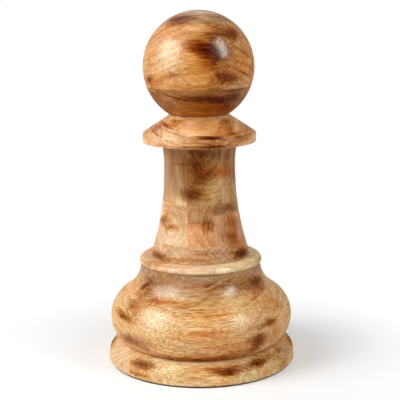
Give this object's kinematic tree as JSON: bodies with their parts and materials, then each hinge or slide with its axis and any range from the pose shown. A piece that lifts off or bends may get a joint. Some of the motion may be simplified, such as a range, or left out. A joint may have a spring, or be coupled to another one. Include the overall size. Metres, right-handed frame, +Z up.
{
  "type": "chess pawn",
  "caption": "Large decorative chess pawn turned from glued-up mango wood boards: felted foot, round belly, pale rim, waisted neck, cone collar and ball head.",
  "frame": {"origin": "centre of the felt's underside, where the turning axis meets the table", "axes": "+Z up along the turning axis, the side that the picture shows faces -Y, +X to that view's right"},
  "size_m": [0.161, 0.161, 0.3],
  "materials": {
    "felt": "dense dark felt",
    "cream_wood": "clear satin lacquer over cream sapwood",
    "golden_wood": "clear satin lacquer over golden wood with scorched patches",
    "orange_wood": "clear satin lacquer over orange wood",
    "pink_brown_wood": "clear satin lacquer over pinkish-brown wood",
    "grey_brown_wood": "clear satin lacquer over grey-brown wood",
    "dark_wood": "clear satin lacquer over brown heartwood",
    "dowel_wood": "plain unfinished dowel"
  },
  "bodies": {
    "root": {"felt_pad": "felt", "foot_left_board": "cream_wood", "foot_right_board": "cream_wood", "belly": "golden_wood", "shoulder": "grey_brown_wood", "rim_left": "cream_wood", "rim_right": "cream_wood", "neck_bottom": "grey_brown_wood", "neck_lower_left": "cream_wood", "neck_lower_middle": "orange_wood", "neck_lower_right": "pink_brown_wood", "neck_band_middle": "grey_brown_wood", "neck_band_right": "dark_wood", "neck_upper_left": "pink_brown_wood", "neck_upper_middle": "dark_wood", "neck_upper_right_low": "grey_brown_wood", "neck_upper_right_top": "pink_brown_wood", "collar": "golden_wood", "head_lower": "dark_wood", "head_middle": "golden_wood", "head_top": "dark_wood", "base_dowel": "dowel_wood", "head_dowel": "dowel_wood"}
  },
  "joints": []
}
